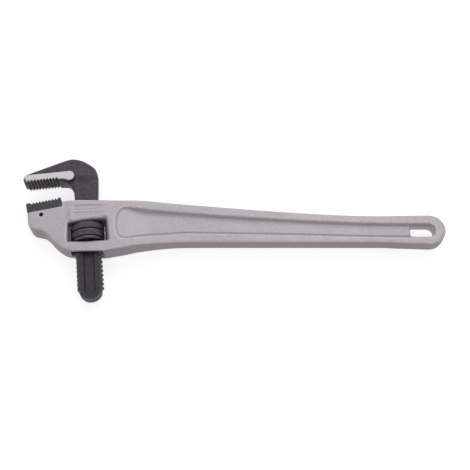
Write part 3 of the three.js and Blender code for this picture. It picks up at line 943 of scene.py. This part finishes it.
def aluminium_look():
    """Shot-blasted light alloy, satin, a little brighter where edges are rubbed, with painted shade
    in hollows.
    """
    look = Look("shot_blasted_aluminium", metallic=0.55)
    grit, pebble, cloud = look.noise(0.55, 2), look.noise(2.6, 4), look.noise(38, 3)
    colour = look.blend(look.spread(pebble, 0.3, 0.7), (0.375, 0.340, 0.362), (0.425, 0.386, 0.410))
    colour = look.blend(look.spread(cloud, 0.3, 0.75, 0, 0.35), colour, (0.47, 0.432, 0.456))
    speck = look.spread(look.noise(1.1, 2, 0.7), 0.62, 0.74, 0, 0.35)
    colour = look.blend(speck, colour, (0.30, 0.282, 0.298))
    bend = look.attribute("bend")
    rubbed = look.times(look.spread(bend, 0.12, 0.6), look.spread(pebble, 0.3, 0.65, 0.25, 0.6))
    colour = look.blend(rubbed, colour, (0.62, 0.585, 0.61))
    # painted shade: concave creases and fillets are darkened
    crease_shade = look.spread(bend, -0.5, -0.08, 0.12, 0.0)
    colour = look.blend(crease_shade, colour, (0.26, 0.243, 0.258))
    # painted shade: the outer side walls are darkened, as if they got less light
    colour = look.blend(look.times(look.attribute("side"), 0.86), colour, (0.185, 0.163, 0.177))
    # painted shade: the inside of the nut's window is darkened almost to black
    colour = look.blend(look.times(look.attribute("inside"), 0.9), colour, (0.045, 0.042, 0.045))
    look.set("Base Color", colour)
    look.set("Roughness", look.spread(grit, 0.25, 0.75, 0.40, 0.58))
    look.bump((grit, 0.05), (pebble, 0.12), (look.noise(9, 3), 0.18))
    return look.material


def forged_look():
    """Phosphated forged steel, milled flank bright, cut teeth bare, with painted shade in hollows
    and tooth gaps.
    """
    look = Look("phosphated_forged_steel", metallic=0.6)
    scale, pebble, cloud = look.noise(0.8, 3), look.noise(3.4, 4, 0.6), look.noise(17, 3)
    dark = look.blend(look.spread(pebble, 0.3, 0.7), (0.040, 0.034, 0.044), (0.068, 0.059, 0.074))
    dark = look.blend(look.spread(cloud, 0.35, 0.7, 0, 0.5), dark, (0.082, 0.072, 0.089))
    bend = look.attribute("bend")
    worn = look.times(look.spread(bend, 0.2, 0.9), look.spread(pebble, 0.35, 0.65, 0.1, 0.5))
    dark = look.blend(worn, dark, (0.26, 0.245, 0.27))
    # painted shade: concave places are darkened
    dark = look.blend(look.spread(bend, -0.8, -0.15, 0.7, 0.0), dark, (0.022, 0.020, 0.024))
    dark = look.blend(look.times(look.attribute("oil"), 0.45), dark, (0.020, 0.018, 0.021))
    # painted shade: the edges of the troughs are darkened almost to black
    dark = look.blend(look.times(look.attribute("trough_shade"), 0.85), dark, (0.006, 0.005, 0.006))
    streaks = look.noise(0.5, 2, 0.5, look.stretched(-HEAD_TURN, (0.06, 1, 1)))
    bright = look.blend(look.spread(streaks, 0.3, 0.7), (0.40, 0.374, 0.404), (0.52, 0.492, 0.526))
    # painted shade and highlight on the teeth: dark in the gaps, lighter on the ridges
    cut = look.blend(look.spread(bend, 0.3, 1.4), (0.013, 0.012, 0.014), (0.085, 0.08, 0.086))
    milled, teeth = look.attribute("milled"), look.attribute("teeth")
    colour = look.blend(look.times(teeth, 0.7), dark, cut)
    colour = look.blend(milled, colour, bright)
    look.set("Base Color", colour)
    rough = look.spread(scale, 0.3, 0.7, 0.42, 0.6)
    smooth = look.spread(streaks, 0.3, 0.7, 0.26, 0.38)
    bare = look.maths("MAXIMUM", milled, look.times(teeth, 0.6))
    shine = look.times(look.maths("SUBTRACT", rough, smooth), bare)
    look.set("Roughness", look.maths("SUBTRACT", rough, shine))
    quiet = look.maths("SUBTRACT", 1.0, bare)
    look.bump(
        (look.times(scale, quiet), 0.07),
        (look.times(pebble, quiet), 0.22),
        (look.times(streaks, bare), 0.02),
    )
    return look.material


def nut_look():
    """Black oxide on turned and knurled steel, thin on the points of the knurl, with painted shade
    in the grooves.
    """
    look = Look("black_oxide_steel", metallic=0.75)
    grain, cloud = look.noise(0.6, 3), look.noise(5, 3)
    colour = look.blend(look.spread(cloud, 0.3, 0.7), (0.026, 0.023, 0.028), (0.050, 0.045, 0.053))
    bend = look.attribute("bend")
    colour = look.blend(look.spread(bend, 0.25, 1.1, 0.0, 0.5), colour, (0.26, 0.245, 0.26))
    # painted shade: the knurl's grooves and the thread are darkened
    colour = look.blend(look.spread(bend, -1.0, -0.2, 0.8, 0.0), colour, (0.015, 0.014, 0.016))
    look.set("Base Color", colour)
    look.set("Roughness", look.spread(grain, 0.3, 0.7, 0.16, 0.28))
    look.bump((grain, 0.03))
    return look.material


def steel_look(name, dark, light, rough=0.3):
    """Drawn steel with fine lines, a little tarnished in patches."""
    look = Look(name, metallic=1.0)
    lines = look.noise(0.3, 2, 0.5, look.stretched(-HEAD_TURN, (1, 0.08, 1)))
    tarnish = look.noise(2.2, 4)
    dull = tuple(0.5 * c for c in dark)
    colour = look.blend(look.spread(lines, 0.3, 0.7), dark, light)
    colour = look.blend(look.spread(tarnish, 0.5, 0.75, 0, 0.5), colour, dull)
    look.set("Base Color", colour)
    look.set("Roughness", look.spread(tarnish, 0.3, 0.7, rough, rough + 0.15))
    look.bump((lines, 0.01), (tarnish, 0.02))
    return look.material


def floor_look():
    """Matt and almost white."""
    look = Look("pale_studio_floor", metallic=0.0, specular=0.1)
    cloud = look.noise(300, 2)
    look.set("Base Color", look.blend(cloud, (0.38, 0.38, 0.38), (0.40, 0.40, 0.40)))
    look.shader.inputs["Roughness"].default_value = 0.8
    look.shader.inputs["Emission Color"].default_value = (1, 1, 1, 1)
    look.shader.inputs["Emission Strength"].default_value = FLOOR_GLOW
    return look.material


# ---- Stage, light and camera ----
FLOOR_GLOW = 0.72  # the light that the floor gives off itself, which keeps shadows faint
FLOOR_REACH, FLOOR_DROP = 60.0, 0.0003  # in metres
WORLD_AT_HORIZON, WORLD_ABOVE = 0.95, 0.58  # brightness of the room
CAMERA_TILT = math.radians(24)
CAMERA_DISTANCE = 963.4
CAMERA_TARGET = np.array([158.6, 1.0, 0.0])  # in the design frame
LENS, SENSOR = 68.32, 36.0


def make_floor():
    """A flat floor that reaches to the horizon, just below the wrench."""
    far = FLOOR_REACH
    points = [(x, y, -FLOOR_DROP) for x, y in ((-far, -far), (far, -far), (far, far), (-far, far))]
    floor = mesh_object("floor", points, [(0, 1, 2, 3)])
    floor.data.materials.append(floor_look())


def area_light(name, place, aim, size, power):
    light = bpy.data.lights.new(name, "AREA")
    light.shape = "RECTANGLE"
    light.size, light.size_y = size
    light.energy = power
    lamp = bpy.data.objects.new(name, light)
    lamp.location = place
    lamp.rotation_euler = (Vector(aim) - Vector(place)).to_track_quat("-Z", "Y").to_euler()
    bpy.context.collection.objects.link(lamp)


def make_world():
    """A white room, brighter round the horizon, where the floor meets it."""
    world = bpy.data.worlds.new("studio")
    world.use_nodes = True
    nodes, links = world.node_tree.nodes, world.node_tree.links
    background = nodes["Background"]
    background.inputs["Color"].default_value = (1, 1, 1, 1)
    direction = nodes.new("ShaderNodeTexCoord").outputs["Generated"]
    parts, fade = nodes.new("ShaderNodeSeparateXYZ"), nodes.new("ShaderNodeMapRange")
    fade.inputs["From Min"].default_value = 0.0
    fade.inputs["From Max"].default_value = 0.3
    fade.inputs["To Min"].default_value = WORLD_AT_HORIZON
    fade.inputs["To Max"].default_value = WORLD_ABOVE
    links.new(direction, parts.inputs["Vector"])
    links.new(parts.outputs["Z"], fade.inputs["Value"])
    links.new(fade.outputs["Result"], background.inputs["Strength"])
    bpy.context.scene.world = world


def make_light():
    make_world()
    bpy.context.scene.view_settings.view_transform = "Standard"
    area_light("key", (0.05, 0.75, 0.9), (0, 0, 0), (1.6, 0.9), 5.2)
    area_light("fill", (0.35, -0.8, 1.3), (0.1, 0, 0), (1.4, 0.8), 3.7)
    area_light("top", (0.45, 0.1, 1.6), (0.15, 0, 0), (1.2, 1.2), 2.9)


def make_camera():
    camera = bpy.data.cameras.new("camera")
    camera.lens, camera.sensor_width = LENS, SENSOR
    camera.clip_start, camera.clip_end = 0.01, 50
    view = bpy.data.objects.new("camera", camera)
    back = np.array([0, -math.sin(CAMERA_TILT), math.cos(CAMERA_TILT)]) * CAMERA_DISTANCE
    view.location = (CAMERA_TARGET + NUT_CENTRE + back) * MM
    view.rotation_euler = (CAMERA_TILT, 0, 0)
    bpy.context.collection.objects.link(view)
    bpy.context.scene.camera = view


def main():
    make_camera()
    make_light()
    make_floor()
    aluminium, forged, black = aluminium_look(), forged_look(), nut_look()
    bright = steel_look("drawn_spring_steel", (0.13, 0.125, 0.14), (0.22, 0.21, 0.23))
    dark = steel_look("blackened_pin_steel", (0.06, 0.055, 0.06), (0.11, 0.10, 0.11), 0.4)
    make_casting(aluminium)
    make_hook(forged)
    make_heel(forged)
    make_pin(dark)
    make_nut(black)
    make_strip(bright)
    make_coil(bright)
    make_rivet(bright)


main()
